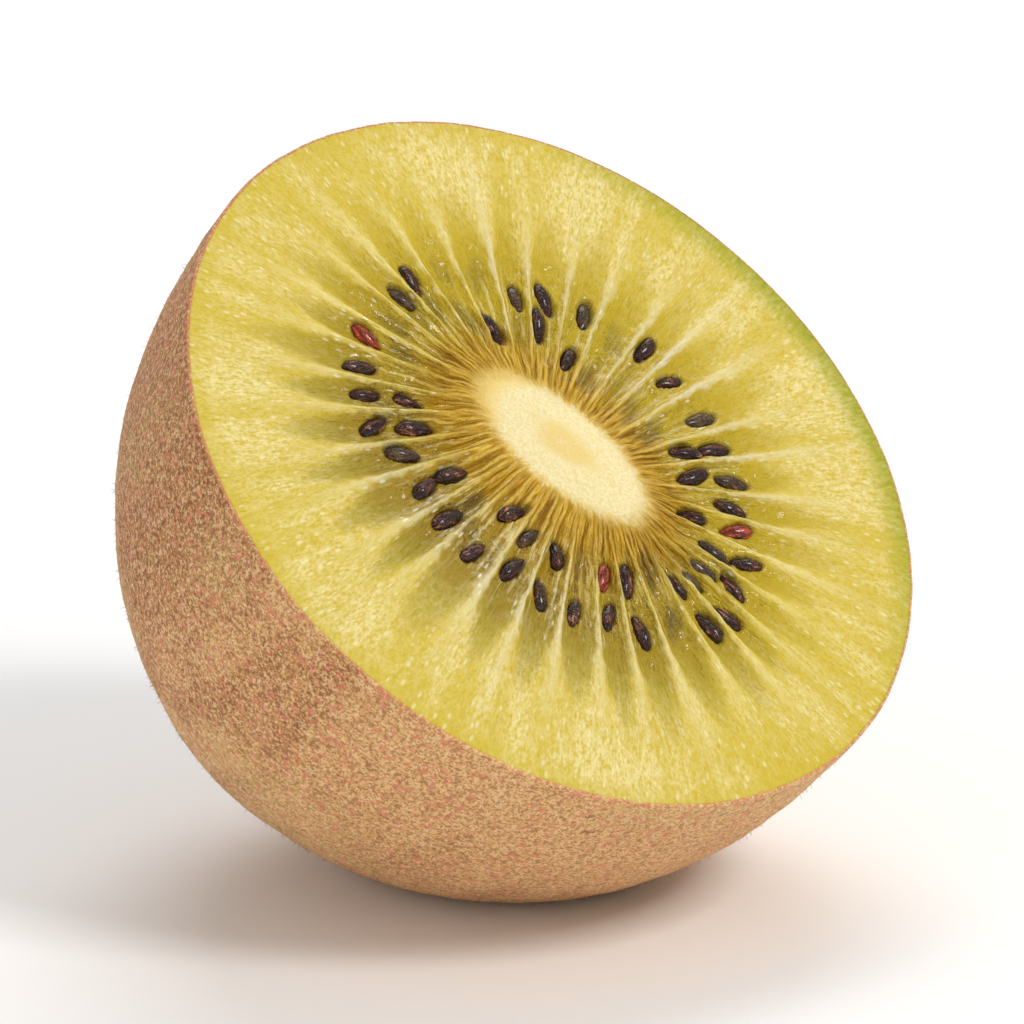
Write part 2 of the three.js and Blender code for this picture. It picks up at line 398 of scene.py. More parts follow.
def add_wrap(name, segments, rows):
    """A grid to be wrapped round the fruit, with the segment and row of each of its vertices."""
    deselect_all()
    bpy.ops.mesh.primitive_grid_add(x_subdivisions=segments, y_subdivisions=rows, size=2)
    wrap = bpy.context.object
    wrap.name = name
    wrap.data.name = name
    points = points_of(wrap.data)
    segment = np.rint((points[:, 0] + 1) / 2 * segments).astype(int)
    row = np.rint((points[:, 1] + 1) / 2 * rows).astype(int)
    return wrap, row, segment


def set_wrap_uv(wrap, name, across_of, down_of, segments, rows):
    """Rewrites the grid's own UV map, so that it follows the shaped surface."""
    layer = wrap.data.uv_layers.active
    layer.name = name
    flat = np.empty(len(layer.data) * 2)
    layer.data.foreach_get("uv", flat)
    uv = flat.reshape(-1, 2)
    segment = np.rint(uv[:, 0] * segments).astype(int)
    row = np.rint(uv[:, 1] * rows).astype(int)
    new = np.stack([across_of(segment), down_of[row]], axis=1)
    layer.data.foreach_set("uv", new.astype(np.float32).ravel())


def close_wrap(wrap):
    """Merges the wrapped grid's seam and poles into a closed surface."""
    deselect_all()
    wrap.select_set(True)
    bpy.context.view_layer.objects.active = wrap
    bpy.ops.object.mode_set(mode="EDIT")
    bpy.ops.mesh.select_all(action="SELECT")
    bpy.ops.mesh.remove_doubles(threshold=MERGE_DISTANCE)
    bpy.ops.mesh.normals_make_consistent(inside=False)
    bpy.ops.object.mode_set(mode="OBJECT")


def set_values(mesh, name, values):
    """A number for each vertex, which materials read by name."""
    attribute = mesh.attributes.new(name, "FLOAT", "POINT")
    attribute.data.foreach_set("value", np.asarray(values, dtype=np.float32))


def join_all(pieces, name):
    deselect_all()
    for piece in pieces:
        piece.select_set(True)
    bpy.context.view_layer.objects.active = pieces[0]
    bpy.ops.object.join()
    joined = bpy.context.object
    joined.name = name
    joined.data.name = name
    return joined


def lay_down(piece, fruit, material, press=True):
    """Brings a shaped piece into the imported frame, presses it flat on the floor and hands it over."""
    mesh = piece.data
    mesh.transform(fruit.laying)
    points = points_of(mesh)
    if press:
        points[:, 2] = (points[:, 2] + np.hypot(points[:, 2], PRESS_SOFTNESS)) / 2
    set_points(mesh, points * MM)
    mesh.materials.clear()
    mesh.materials.append(material)
    deselect_all()
    piece.select_set(True)
    bpy.context.view_layer.objects.active = piece
    bpy.ops.object.shade_smooth()
    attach(piece, "root")


# Material helpers


class Nodes:
    """Adds nodes to one tree. Each method gives back the new node's output."""

    def __init__(self, tree):
        self.tree = tree

    def add(self, kind, values=None, output=0, **settings):
        node = self.tree.nodes.new(kind)
        for name, value in settings.items():
            setattr(node, name, value)
        self.feed_all(node, values or {})
        return node.outputs[output]

    def feed(self, socket, value):
        """Links another node's output to the socket, or sets the socket's own value."""
        if isinstance(value, bpy.types.NodeSocket):
            self.tree.links.new(value, socket)
        elif socket.type == "RGBA" and len(value) == 3:
            socket.default_value = (*value, 1)
        else:
            socket.default_value = value

    def feed_all(self, node, values):
        for key, value in values.items():
            self.feed(node.inputs[key], value)

    def math(self, operation, *values):
        return self.add("ShaderNodeMath", dict(enumerate(values)), operation=operation)

    def chain(self, operation, result, *others):
        """Works through the values two at a time, from the left."""
        for other in others:
            result = self.math(operation, result, other)
        return result

    times = partialmethod(chain, "MULTIPLY")
    plus = partialmethod(chain, "ADD")
    minus = partialmethod(chain, "SUBTRACT")
    over = partialmethod(chain, "DIVIDE")
    larger = partialmethod(chain, "MAXIMUM")
    scaled = partialmethod(math, "MULTIPLY_ADD")

    def smooth(self, value, low, high, bottom=0.0, top=1.0):
        """Rises softly from bottom to top as value goes from low to high."""
        values = {"Value": value, "From Min": low, "From Max": high, "To Min": bottom, "To Max": top}
        return self.add("ShaderNodeMapRange", values, interpolation_type="SMOOTHSTEP")

    def mix(self, share, a, b):
        return self.add("ShaderNodeMix", {0: share, 6: a, 7: b}, 2, data_type="RGBA")

    def noise(self, vector, scale, detail=2.0, roughness=0.5, distortion=0.0):
        values = {"Vector": vector, "Scale": scale, "Detail": detail, "Roughness": roughness,
                  "Distortion": distortion}
        return self.add("ShaderNodeTexNoise", values)

    def cells(self, vector, scale, output="Distance"):
        return self.add("ShaderNodeTexVoronoi", {"Vector": vector, "Scale": scale}, output)

    def random(self, number):
        return self.add("ShaderNodeTexWhiteNoise", {"W": number}, noise_dimensions="1D")

    def vector(self, x, y, z=0.0):
        return self.add("ShaderNodeCombineXYZ", {0: x, 1: y, 2: z})

    def split(self, vector):
        return self.add("ShaderNodeSeparateXYZ", {0: vector}).node.outputs[:]

    def value_of(self, name):
        return self.add("ShaderNodeAttribute", output=2, attribute_name=name)

    def bump(self, height, distance, strength=1.0):
        return self.add("ShaderNodeBump", {"Height": height, "Distance": distance, "Strength": strength})

    def group(self, name, values):
        return self.add("ShaderNodeGroup", values, node_tree=bpy.data.node_groups[name])


def new_group(name, numbers):
    """An empty node group that takes a place and those numbers and gives one number."""
    tree = bpy.data.node_groups.new(name, "ShaderNodeTree")
    tree.interface.new_socket("Place", in_out="INPUT", socket_type="NodeSocketVector")
    for label in numbers:
        tree.interface.new_socket(label, in_out="INPUT", socket_type="NodeSocketFloat")
    tree.interface.new_socket(name, in_out="OUTPUT", socket_type="NodeSocketFloat")
    start = tree.nodes.new("NodeGroupInput")
    end = tree.nodes.new("NodeGroupOutput")
    return start.outputs, end.inputs[name], Nodes(tree)


def grains(n, place, scale, fill, share):
    """Small rounded grains: juice cells and painted glints in the flesh, corky dots and spots on the skin.
    """
    name = "Grains"
    if name not in bpy.data.node_groups:
        given, result, inner = new_group(name, ("Scale", "Fill", "Share"))
        distance = inner.cells(given["Place"], given["Scale"])
        random = inner.split(inner.cells(given["Place"], given["Scale"], "Color"))[0]
        dot = inner.smooth(distance, given["Fill"], inner.times(given["Fill"], 0.45))
        inner.feed(result, inner.times(dot, inner.math("LESS_THAN", random, given["Share"])))
    return n.group(name, {"Place": place, "Scale": scale, "Fill": fill, "Share": share})


def mottling(n, place, scale, fine_share):
    """Slow and fine unevenness together, as a number about 0.5."""
    name = "Mottle"
    if name not in bpy.data.node_groups:
        given, result, inner = new_group(name, ("Scale", "Fine share"))
        slow = inner.noise(given["Place"], given["Scale"], 3.0)
        fine = inner.noise(given["Place"], inner.times(given["Scale"], 7.0), 2.0)
        inner.feed(result, inner.plus(slow, inner.times(inner.minus(fine, 0.5), given["Fine share"])))
    return n.group(name, {"Place": place, "Scale": scale, "Fine share": fine_share})


def new_material(name, fruit):
    """A material with its Principled shader, its Nodes, and the place in the fruit's frame, in mm."""
    material = bpy.data.materials.new(name)
    material.use_nodes = True
    n = Nodes(material.node_tree)
    shader = material.node_tree.nodes["Principled BSDF"]
    upright = fruit.laying.inverted()
    values = {"Vector": n.add("ShaderNodeTexCoord", output="Object"), "Location": upright.translation,
              "Rotation": upright.to_euler(), "Scale": (1 / MM, 1 / MM, 1 / MM)}
    place = n.add("ShaderNodeMapping", values, vector_type="POINT")
    return material, shader, n, place


class FaceMap:
    """Where a point of the cut face lies among the chambers, with the grain of the flesh there."""

    def __init__(self, n, place, fruit):
        self.n = n
        self.place = place
        self.x, self.y, _ = n.split(place)
        self.spoke, self.share, _ = n.split(n.add("ShaderNodeUVMap", uv_map="chambers"))
        self.wobble = n.minus(n.noise(place, 0.9, 1.0), 0.5)
        self.chamber = n.scaled(self.wobble, 0.2, self.spoke)
        self.across = n.math("FRACT", self.chamber)
        number = n.math("FLOOR", self.chamber)
        self.own = n.random(number)
        self.other = n.random(n.plus(number, 50.0))
        wall_number = n.math("MODULO", n.math("ROUND", self.chamber), float(fruit.chambers))
        self.wall_own = n.random(n.plus(wall_number, 100.0))
        self.pitch = n.scaled(self.share, 3.9, 0.92)
        self.from_wall = n.minus(0.5, n.math("ABSOLUTE", n.minus(self.across, 0.5)))
        self.streaks = self.strands(2.6, 5.0, 2.0)
        self.uneven = n.minus(self.streaks, 0.5)
        self.fibres = self.strands(8.0, 7.0, 2.0)
        self.strokes = self.strands(14.0, 22.0)
        self.fine_strokes = self.strands(26.0, 60.0)
        self.grain = n.noise(place, 4.2, 2.0, 0.7)
        self.upper_side = n.smooth(self.y, -13.0, 6.0)
        self.lit_side = n.smooth(n.plus(self.x, self.y), 8.0, -8.0)
        dash_place = n.vector(n.times(self.spoke, 12.0), n.times(self.share, 24.0))
        self.dashes = grains(n, dash_place, 1.0, 0.4, 0.33)

    def strands(self, across_scale, along_scale, detail=1.0):
        """Noise drawn out along the spokes, finer towards the core."""
        across = self.n.times(self.spoke, across_scale)
        along = self.n.times(self.share, along_scale)
        return self.n.noise(self.n.vector(across, along), 1.0, detail, 0.6)

    def line(self, where, width):
        """A line along the spoke at that place across its chamber, as wide as given in mm."""
        away = self.n.math("ABSOLUTE", self.n.minus(self.across, where))
        return self.n.smooth(self.n.times(away, self.pitch), width, 0.2 * width)


def outer_flesh(face, colours):
    """Deep yellow with soft rays, pale strokes and bright juice cells, deeper again under the skin."""
    n, share = face.n, face.share
    pale = n.scaled(face.strokes, 0.45, n.times(face.grain, 0.10))
    pale = n.smooth(n.scaled(face.fine_strokes, 0.45, pale), 0.30, 0.70)
    slow = n.noise(face.place, 0.14, 2.0)
    paleness = n.times(
        n.smooth(slow, 0.3, 0.7, 0.65, 1.05),
        n.smooth(share, 1.0, 0.9, 0.5, 1.0),
        n.smooth(face.strands(2.2, 1.6), 0.35, 0.65, 0.5, 1.3),
        n.smooth(n.math("ABSOLUTE", face.y), 4.0, 18.0, 0.8, 1.15),
        n.smooth(share, 0.45, 0.78, 0.6, 1.0),
    )
    pale = n.times(pale, paleness)
    colour = n.mix(pale, colours.flesh, colours.flesh_pale)
    return n.mix(n.times(face.dashes, 0.5), colour, colours.juice), pale


def chamber_flesh(face, colours, colour, pale):
    """Olive flames that narrow to each chamber's own tip, and wet gel nearer the core, both painted darker
    towards the lower side as shade.
    """
    n, share = face.n, face.share
    tip = n.scaled(face.own, 0.18, n.scaled(face.upper_side, -0.06, 0.70))
    narrowing = n.over(n.minus(share, 0.25), n.minus(tip, 0.25))
    narrowing = n.math("POWER", n.larger(narrowing, 0.0), 3.0)
    half_width = n.scaled(narrowing, -0.48, 0.46)
    inside = n.minus(face.from_wall, n.minus(0.5, half_width))
    inside = n.scaled(face.uneven, 0.3, inside)
    # Painted shade: the tips on the lower side take the darker olive
    flame_colour = n.mix(face.upper_side, colours.flame_shade, colours.flame)
    flame_colour = n.mix(n.times(pale, 0.4), flame_colour, colours.flesh_pale)
    flame = n.times(n.smooth(inside, -0.12, 0.18), n.smooth(share, 0.88, 0.42, 0.1, 1.0))
    colour = n.mix(flame, colour, flame_colour)

    reach = n.scaled(face.uneven, 0.3, share)
    wet = n.times(n.smooth(inside, -0.10, 0.10), n.smooth(reach, 0.58, 0.36))
    # The gel is paler towards the upper side and darker below as painted shade
    colour = n.mix(wet, colour, n.mix(n.times(face.upper_side, 0.9), colours.gel, colours.flame))
    # Painted shade: dark spots in the gel's hollows nearer the core, strongest on the lower side
    painted_gel_shade = n.times(n.plus(face.streaks, face.grain), 0.5)
    painted_gel_shade = n.times(n.smooth(painted_gel_shade, 0.48, 0.62), n.smooth(reach, 0.54, 0.34), wet)
    painted_gel_shade = n.times(painted_gel_shade, n.scaled(face.upper_side, -0.45, 0.8))
    return n.mix(painted_gel_shade, colour, colours.gel_shade), wet


def golden_fibres(face, colours, colour):
    """Golden fibres around the core, which reach furthest on the lower side."""
    n, share = face.n, face.share
    reach = n.scaled(n.minus(face.fibres, 0.5), 0.22, share)
    limit = n.scaled(face.upper_side, -0.10, 0.34)
    gaps = n.scaled(face.lit_side, -0.3, 1.0)
    gaps = n.times(gaps, n.smooth(face.fibres, 0.58, 0.40))
    gold = n.mix(gaps, colours.gold, colours.gold_dark)
    gold = n.mix(n.smooth(face.streaks, 0.5, 0.65, 0.0, 0.4), gold, colours.gel)
    near = n.smooth(n.over(reach, limit), 1.0, 0.1)
    return n.mix(near, colour, gold), near


def walls_and_threads(face, colours, colour, near_core):
    """Walls, thin and golden near the core, wet and pale among the seeds, soft rays further out."""
    n, share = face.n, face.share
    tissue = n.mix(n.smooth(n.math("ABSOLUTE", face.y), 3.0, 13.0), colours.wall, colours.wall_wet)
    tissue = n.mix(n.smooth(share, 0.42, 0.6, 0.0, 0.7), tissue, colours.flesh_pale)
    tissue = n.mix(near_core, tissue, colours.thread)
    width = n.smooth(share, 0.28, 0.75, 0.12, 0.5)
    line = n.smooth(n.over(n.times(face.from_wall, face.pitch), width), 1.5, 0.3)
    reach = n.smooth(share, n.scaled(face.wall_own, 0.22, 0.82), 0.42)
    wall = n.times(
        line,
        reach,
        n.smooth(share, 0.0, 0.06, 0.3, 1.0),
        n.scaled(face.wall_own, 0.45, 0.50),
        n.smooth(face.strokes, 0.32, 0.5, 0.65, 1.0),
        n.smooth(share, 0.1, 0.4, 0.72, 1.0),
    )
    colour = n.mix(wall, colour, tissue)

    threads = 0.0
    for random, middle in ((face.own, 0.3), (face.other, 0.7)):
        where = n.scaled(random, 0.16, middle - 0.08)
        end = n.scaled(random, 0.45, 0.12)
        thread = n.times(face.line(where, 0.13), n.smooth(share, end, n.times(end, 0.4)))
        threads = n.larger(threads, thread)
    threads = n.times(threads, n.smooth(face.fine_strokes, 0.35, 0.55, 0.4, 0.95))
    end = n.scaled(face.upper_side, -0.16, 0.62)
    fuzz = n.times(n.smooth(face.fibres, 0.54, 0.66), n.smooth(share, end, 0.15, 0.0, 0.7))
    threads = n.larger(threads, fuzz)
    threads = n.times(threads, n.smooth(face.lit_side, 0.0, 1.0, 0.6, 0.95))
    return n.mix(threads, colour, tissue)


def core_flesh(face, colours, colour, fruit):
    """The bright core, frayed into the gold at its edge, with a grainy darker eye."""
    n, share = face.n, face.share
    scale = n.scaled(n.math("GREATER_THAN", share, 0.0), 14.0, 5.0)
    edge = n.times(share, scale)
    teeth = n.minus(n.plus(face.fibres, face.streaks), 1.0)
    edge = n.plus(edge, n.times(teeth, n.smooth(share, -0.35, 0.0, 0.0, 1.7)))
    edge = n.scaled(face.wobble, 0.5, edge)
    golden_end = n.scaled(n.smooth(face.x, -3.0, -7.0), -1.8, -1.1)
    pith = n.mix(n.smooth(edge, golden_end, 0.1), colours.core, colours.core_edge)
    eye_x = n.over(face.x, 2.2)
    eye_y = n.over(n.minus(face.y, fruit.core_aside), 1.15)
    eye = n.math("SQRT", n.plus(n.math("POWER", eye_x, 2.0), n.math("POWER", eye_y, 2.0)))
    eye = n.plus(eye, n.scaled(face.grain, 1.6, n.times(face.wobble, 0.9)))
    ring = n.times(n.smooth(eye, 2.25, 1.35), n.smooth(eye, 0.7, 1.3, 0.6, 1.0))
    pith = n.mix(n.times(ring, 0.85), pith, colours.core_eye)
    pith = n.mix(n.smooth(face.grain, 0.44, 0.62, 0.0, 0.6), pith, colours.core_eye)
    return n.mix(n.smooth(edge, 0.45, -0.5), colour, pith)


def flesh_material(fruit, colours):
    """Wet flesh: a cream core, golden fibres, gel between pale walls, grainy flesh, green rim."""
    material, shader, n, place = new_material("wet_flesh", fruit)
    face = FaceMap(n, place, fruit)
    share = face.share
    colour, pale = outer_flesh(face, colours)
    colour, wet = chamber_flesh(face, colours, colour, pale)
    colour, near_core = golden_fibres(face, colours, colour)
    colour = walls_and_threads(face, colours, colour, near_core)

    # Painted glints: pale beads of juice along the walls stand in for highlights on the wet gel, where the
    # coat is glossier too
    at_wall = n.smooth(face.from_wall, 0.40, 0.10, 0.2, 1.0)
    seed_ring = n.times(n.smooth(share, 0.04, 0.16), n.smooth(share, 0.62, 0.45))
    beads = n.times(face.dashes, n.times(at_wall, seed_ring))
    beads = n.times(beads, n.smooth(face.uneven, -0.10, 0.04))
    colour = n.mix(n.times(beads, 0.7), colour, colours.bead)

    # Green under the skin, most on one side
    side = n.scaled(face.x, 0.014, n.times(face.y, 0.034))
    rim = n.times(n.smooth(share, 0.87, 1.0), n.smooth(side, 0.42, 0.95, 0.02, 0.95))
    rim = n.times(rim, n.smooth(face.strokes, 0.3, 0.6, 1.0, 0.7))
    colour = n.mix(rim, colour, colours.green)

    # Seeds below the surface show as dark, blurred shapes, and painted shade darkens the flesh round each
    # shown seed's bed
    shade = n.times(n.value_of("seed_shade"), n.smooth(face.fibres, 0.4, 0.6, 1.0, 0.75))
    colour = n.mix(shade, colour, colours.seed_through_gel_and_shade)
    glossy = n.times(wet, n.minus(1.0, near_core))
    height = n.times(n.scaled(face.fibres, 1.2, face.strokes), n.smooth(share, -0.25, 0.0))
    height = n.scaled(face.grain, 0.9, height)
    n.feed_all(shader, {
        "Base Color": core_flesh(face, colours, colour, fruit),
        "Roughness": n.smooth(glossy, 0.0, 1.0, 0.48, 0.26),
        "Coat Weight": n.larger(n.smooth(glossy, 0.0, 1.0, 0.04, 0.45), beads),
        "Coat Roughness": 0.08,
        "Coat IOR": 1.4,
        "Specular IOR Level": 0.18,
        "Subsurface Weight": 0.2,
        "Subsurface Radius": (1.0, 0.8, 0.3),
        "Subsurface Scale": 0.8 * MM,
        "Normal": n.bump(height, 0.15 * MM),
    })
    return material


def skin_material(fruit, colours):
    """Thin matt skin with fine flecks, pinkish corky dots and olive patches, paler at the nub, painted
    darker on one side as shade.
    """
    material, shader, n, place = new_material("brown_skin", fruit)
    x, y, z = n.split(place)
    _, share, _ = n.split(n.add("ShaderNodeUVMap", uv_map="wrap"))

    mottle = mottling(n, place, 0.12, 0.6)
    along = n.noise(n.vector(x, y, n.times(z, 0.12)), 0.32, 2.0)
    maze = n.noise(place, 3.0, 2.0, 0.6)
    flecks = n.noise(place, 6.0, 1.0, 0.7)
    strayed = n.add("ShaderNodeVectorMath", {0: place, 1: n.times(maze, 1.5)})
    dots = grains(n, strayed, 1.25, 0.45, 0.62)
    spots = grains(n, strayed, 0.35, 0.12, 0.3)
    out = n.math("SQRT", n.plus(n.math("POWER", x, 2.0), n.math("POWER", y, 2.0)))
    uneven_out = n.scaled(n.minus(along, 0.5), 5.0, out)
    at_end = n.smooth(share, 0.6, 0.75)
    at_nub = n.times(n.smooth(uneven_out, 9.0, 4.5), at_end)

    # Painted shade: the skin darkens towards -x and +y as if that side were in shade, added to its own
    # slow mottling and lengthwise streaks
    side = n.scaled(x, -0.024, n.times(y, 0.012))
    darker = n.plus(n.smooth(side, -0.7, 0.5), n.minus(mottle, 0.5))
    darker = n.plus(darker, n.smooth(along, 0.35, 0.7, -0.2, 0.35))
    darker = n.smooth(darker, 0.0, 1.0)
    colour = n.mix(darker, colours.skin, colours.skin_dark_and_shade)
    patches = n.smooth(n.noise(place, 0.06, 1.0), 0.44, 0.62, 0.0, 0.4)
    colour = n.mix(patches, colour, colours.skin_olive)
    colour = n.mix(n.times(at_nub, 0.75), colour, colours.skin_nub)
    colour = n.mix(n.smooth(maze, 0.50, 0.36, 0.0, 0.6), colour, colours.skin_pale)
    calm = n.scaled(at_nub, -0.75, 1.0)
    strength = n.times(n.smooth(darker, 0.0, 1.0, 0.7, 1.0), n.scaled(patches, -0.55, 1.0), calm)
    fleck = n.larger(n.smooth(maze, 0.48, 0.66), n.smooth(flecks, 0.47, 0.64, 0.0, 0.85))
    colour = n.mix(n.times(fleck, n.times(strength, 0.85)), colour, colours.skin_fleck)
    dots = n.times(dots, n.times(calm, 0.8))
    colour = n.mix(dots, colour, colours.skin_dot)
    colour = n.mix(n.times(spots, 0.65), colour, colours.skin_spot)
    recess = n.scaled(n.minus(maze, 0.5), 3.0, out)
    recess = n.times(n.smooth(recess, 2.4, 0.8, 0.0, 0.8), at_end)
    colour = n.mix(recess, colour, colours.skin_recess)
    cut = n.times(n.smooth(share, 0.004, -0.1), n.smooth(maze, 0.45, 0.6, 0.05, 0.7))
    colour = n.mix(cut, colour, colours.skin_dot)
    height = n.scaled(flecks, -0.8, n.times(maze, -1.0))
    n.feed_all(shader, {
        "Base Color": colour,
        "Roughness": n.smooth(maze, 0.3, 0.7, 0.6, 0.85),
        "Specular IOR Level": 0.3,
        "Sheen Weight": 0.08,
        "Sheen Roughness": 0.5,
        "Normal": n.bump(height, 0.16 * MM, 0.9),
    })
    return material


def seed_material(fruit, colours):
    """Glossy coat, wrinkled lengthwise, purple-black with brown ridges and painted highlights; some are
    red or veiled.
    """
    material, shader, n, place = new_material("seed_coat", fruit)
    tone = n.value_of("seed_tone")
    round_seed, along_seed, _ = n.split(n.add("ShaderNodeUVMap", uv_map="UVMap"))
    own_start = n.times(tone, 40.0)
    coat_place = n.vector(n.times(round_seed, 9.0), n.times(along_seed, 3.0), own_start)
    wrinkles = n.noise(coat_place, 1.0, 2.0, 0.6, 0.5)
    mottle = mottling(n, place, 0.9, 0.5)
    brown = n.times(n.smooth(wrinkles, 0.42, 0.66), n.smooth(mottle, 0.36, 0.62, 0.25, 1.0))
    colour = n.mix(n.times(brown, 0.8), colours.seed, colours.seed_brown)
    # Painted highlights: tan on the crests of the wrinkles
    ridge_highlight = n.times(n.smooth(wrinkles, 0.57, 0.68), n.smooth(mottle, 0.46, 0.60))
    colour = n.mix(n.times(ridge_highlight, 0.8), colour, colours.seed_ridge_highlight)
    veil = n.times(n.smooth(tone, 0.20, 0.10), n.smooth(mottle, 0.40, 0.60, 0.15, 0.6))
    colour = n.mix(veil, colour, colours.veil)
    red = n.math("GREATER_THAN", tone, 1.5)
    red_colour = n.mix(n.smooth(wrinkles, 0.42, 0.6), colours.seed_red, colours.seed_red_dark)
    n.feed_all(shader, {
        "Base Color": n.mix(red, colour, red_colour),
        "Roughness": n.smooth(mottle, 0.3, 0.7, 0.14, 0.34),
        "Coat Weight": n.smooth(mottle, 0.3, 0.7, 0.55, 0.1),
        "Coat Roughness": 0.06,
        "Specular IOR Level": 0.25,
        "Normal": n.bump(n.scaled(n.noise(place, 4.0, 1.0), 0.7, wrinkles), 0.35 * MM),
    })
    return material


def remains_material(fruit, colours):
    """Dry, papery strands left by the flower."""
    material, shader, n, place = new_material("dry_remains", fruit)
    mottle = mottling(n, place, 1.4, 0.7)
    n.feed_all(shader, {
        "Base Color": n.mix(n.smooth(mottle, 0.4, 0.75, 0.0, 0.8), colours.remains, colours.remains_pale),
        "Roughness": n.smooth(mottle, 0.3, 0.7, 0.65, 0.9),
        "Normal": n.bump(n.noise(place, 6.0), 0.05 * MM),
    })
    return material


def down_material(fruit, colours):
    """Fine hairs, darker in places."""
    material, shader, n, place = new_material("fine_down", fruit)
    mottle = mottling(n, place, 0.8, 0.4)
    n.feed_all(shader, {
        "Base Color": n.mix(n.smooth(mottle, 0.4, 0.65, 0.0, 0.7), colours.down, colours.skin_spot),
        "Roughness": n.smooth(mottle, 0.3, 0.7, 0.5, 0.7),
    })
    return material


def floor_material(colour):
    material = bpy.data.materials.new("pale_floor")
    material.use_nodes = True
    shader = material.node_tree.nodes["Principled BSDF"]
    values = {"Base Color": colour, "Roughness": 0.7, "Specular IOR Level": 0.2}
    Nodes(material.node_tree).feed_all(shader, values)
    return material


# Shapes of the pieces


def crowd_to_walls(chamber):
    """Moves evenly spaced chamber coordinates towards the walls, where the relief is sharpest."""
    whole = np.floor(chamber)
    across = chamber - whole
    return whole + across - 0.45 * np.sin(2 * np.pi * across) / (2 * np.pi)


def seed_space(seed, fruit, x, y):
    """How far points of the cut plane lie from a seed's middle, as shares of its half sizes."""
    dx, dy = x - seed.x, y - seed.y
    along = dx * math.cos(seed.heading) + dy * math.sin(seed.heading)
    aside = dy * math.cos(seed.heading) - dx * math.sin(seed.heading)
    long, wide = fruit.seed_length * seed.scale, fruit.seed_width * seed.scale
    return np.hypot(2 * along / long, 2 * aside / wide)


def face_relief(fruit, chamber, share, x, y):
    """Heights over the cut plane outside the core: hollows, walls, fibres, gel lumps and seed beds."""
    number = np.floor(chamber).astype(int) % fruit.chambers
    across = chamber - np.floor(chamber)
    own = fruit.uneven[number]
    wall_own = fruit.uneven[np.rint(chamber).astype(int) % fruit.chambers, 3]
    flat = on_plane(x, y)

    width = lerp(1.0, 0.45, smoothstep(share, 0.35, 0.8))
    profile = np.sin(np.pi * np.clip((across - 0.5) / width + 0.5, 0, 1))
    fade_start = 0.46 + 0.1 * (own[:, 0] - 0.5)
    fade_end = 0.78 + 0.16 * (own[:, 1] - 0.5)
    deepening = smoothstep(share, 0.02, 0.12)
    wet = deepening * (1 - smoothstep(share, fade_start, fade_end)) * profile
    steeper_side = lerp(1.15, 0.75, smoothstep(y, -8, 8))
    height = -fruit.chamber_depth * (0.8 + 0.4 * own[:, 2]) * steeper_side * wet

    pitch = 2 * np.pi / fruit.chambers * np.hypot(x, y)
    from_wall = np.minimum(across, 1 - across) * pitch
    ridge = np.exp(-((from_wall / RIDGE_WIDTH) ** 2)) * deepening * (1 - smoothstep(share, 0.5, 0.8))
    height += RIDGE_HEIGHT * (0.4 + wall_own) * ridge

    near_core = 1 - smoothstep(share, 0.1, 0.4)
    height += 0.10 * near_core * cloud(on_plane(chamber * 3.4, share * 5), 1.0)
    drawn_out = cloud(on_plane(chamber * 1.6, share * 14), 1.0)
    height += wet * (0.13 * cloud(flat, 0.8) + 0.10 * drawn_out + 0.06 * cloud(flat + 7, 0.35))
    inner = 1 - smoothstep(share, 0.9, 1.0)
    height += inner * (0.035 * cloud(flat + 3, 0.45) + 0.12 * cloud(flat, 9.0))

    shade = np.zeros_like(x)
    for seed in fruit.seeds:
        near = seed_space(seed, fruit, x, y)
        if seed.buried:
            shade = np.maximum(shade, 0.75 * seed.tone * (1 - smoothstep(near, 0.5, 1.5)))
            continue
        height += BED_LIP * np.exp(-(((near - 1.25) / 0.2) ** 2))
        height -= BED_DEPTH * (1 - smoothstep(near, 0.7, 1.05))
        # Painted shade round and under the bed of each shown seed
        shade = np.maximum(shade, 0.7 * (1 - smoothstep(near, 0.85, 1.2)))
    return height, shade


